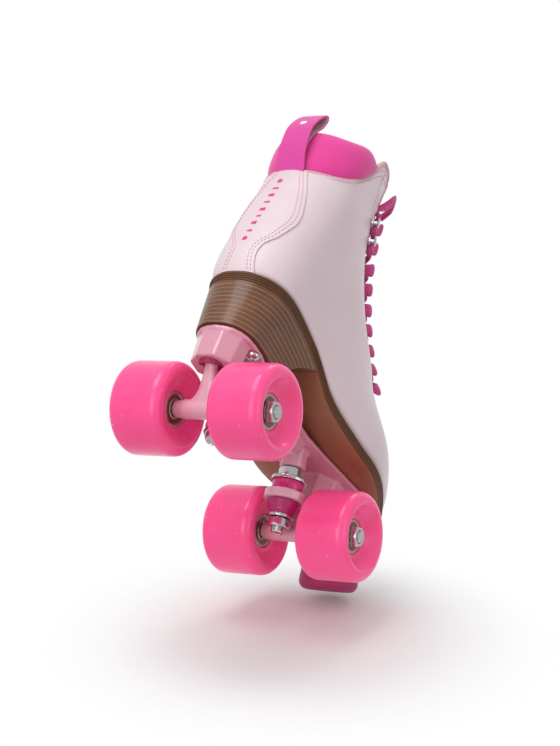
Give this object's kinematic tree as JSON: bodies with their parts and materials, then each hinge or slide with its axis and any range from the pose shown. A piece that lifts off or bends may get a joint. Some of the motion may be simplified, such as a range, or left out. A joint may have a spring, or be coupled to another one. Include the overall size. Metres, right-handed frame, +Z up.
{
  "type": "quad roller skate",
  "caption": "High-cut boot on a low metal chassis with sprung steering trucks, soft wide wheels and a toe stop, for indoor and street skating.",
  "frame": {"origin": "on the floor, midway between the two axles, in the skate's middle plane", "axes": "+X to the wearer's left across the skate, +Y towards the heel, +Z up from the floor"},
  "size_m": [0.106, 0.2417, 0.276],
  "materials": {
    "upper_leather": "smooth, soft sheen",
    "insole_fabric": "matte woven",
    "sole_leather": "smooth, waxed",
    "heel_leather": "stacked layers, polished",
    "tongue_leather": "smooth, soft sheen",
    "collar_fabric": "smooth padded fabric",
    "loop_webbing": "woven webbing",
    "lace_cord": "woven flat lace",
    "chrome": "polished",
    "plate_paint": "gloss powder coat",
    "truck_paint": "satin powder coat",
    "stop_rubber": "matte rubber",
    "pivot_rubber": "matte rubber",
    "upper_cushion": "glossy urethane",
    "lower_cushion": "glossy urethane",
    "wheel_urethane": "glossy urethane",
    "bearing_steel": "oiled steel"
  },
  "bodies": {
    "boot_and_plate": {"boot_upper": "upper_leather", "insole": "insole_fabric", "outsole": "sole_leather", "heel_stack": "heel_leather", "tongue": "tongue_leather", "collar_pad": "collar_fabric", "pull_loop": "loop_webbing", "lace_left": "lace_cord", "lace_right": "lace_cord", "speed_hook_lower_right": "chrome", "speed_hook_lower_left": "chrome", "speed_hook_upper_right": "chrome", "speed_hook_upper_left": "chrome", "plate": "plate_paint", "plate_screw_rear_left": "chrome", "plate_screw_rear_right": "chrome", "plate_screw_front_left": "chrome", "plate_screw_front_right": "chrome", "toe_stop": "stop_rubber", "toe_stop_stem": "chrome", "toe_stop_nut": "chrome", "rear_kingpin": "chrome", "rear_jam_nut": "chrome", "rear_cup_washer": "chrome", "rear_lower_washer": "chrome", "rear_lock_nut": "chrome", "rear_upper_cushion": "upper_cushion", "rear_lower_cushion": "lower_cushion", "rear_pivot_cup": "pivot_rubber", "front_kingpin": "chrome", "front_jam_nut": "chrome", "front_cup_washer": "chrome", "front_lower_washer": "chrome", "front_lock_nut": "chrome", "front_upper_cushion": "upper_cushion", "front_lower_cushion": "lower_cushion", "front_pivot_cup": "pivot_rubber"},
    "rear_truck": {"rear_hanger": "truck_paint", "rear_axle": "chrome", "axle_nut_rear_right": "chrome", "axle_nut_rear_left": "chrome"},
    "front_truck": {"front_hanger": "truck_paint", "front_axle": "chrome", "axle_nut_front_right": "chrome", "axle_nut_front_left": "chrome"},
    "rear_right_wheel": {"wheel_rear_right": "wheel_urethane", "bearing_rear_right_outer": "bearing_steel", "bearing_rear_right_inner": "bearing_steel"},
    "rear_left_wheel": {"wheel_rear_left": "wheel_urethane", "bearing_rear_left_outer": "bearing_steel", "bearing_rear_left_inner": "bearing_steel"},
    "front_right_wheel": {"wheel_front_right": "wheel_urethane", "bearing_front_right_outer": "bearing_steel", "bearing_front_right_inner": "bearing_steel"},
    "front_left_wheel": {"wheel_front_left": "wheel_urethane", "bearing_front_left_outer": "bearing_steel", "bearing_front_left_inner": "bearing_steel"}
  },
  "joints": [
    {"name": "rear_steer", "type": "hinge", "parent": "boot_and_plate", "child": "rear_truck", "pos_m": [0, 0.04493, 0.04112], "axis": [0, 0.9265, 0.3764], "range_deg": [-6, 6], "stiffness_Nm_per_rad": 30, "deforming": ["rear_upper_cushion", "rear_lower_cushion"]},
    {"name": "front_steer", "type": "hinge", "parent": "boot_and_plate", "child": "front_truck", "pos_m": [0, -0.04493, 0.04112], "axis": [0, -0.9265, 0.3764], "range_deg": [-6, 6], "stiffness_Nm_per_rad": 30, "deforming": ["front_upper_cushion", "front_lower_cushion"]},
    {"name": "rear_right_spin", "type": "hinge", "parent": "rear_truck", "child": "rear_right_wheel", "pos_m": [-0.0345, 0.0667, 0.02882], "axis": [1, 0, 0], "continuous": true},
    {"name": "rear_left_spin", "type": "hinge", "parent": "rear_truck", "child": "rear_left_wheel", "pos_m": [0.0345, 0.0667, 0.02882], "axis": [1, 0, 0], "continuous": true},
    {"name": "front_right_spin", "type": "hinge", "parent": "front_truck", "child": "front_right_wheel", "pos_m": [-0.0345, -0.0667, 0.02882], "axis": [1, 0, 0], "continuous": true},
    {"name": "front_left_spin", "type": "hinge", "parent": "front_truck", "child": "front_left_wheel", "pos_m": [0.0345, -0.0667, 0.02882], "axis": [1, 0, 0], "continuous": true}
  ]
}
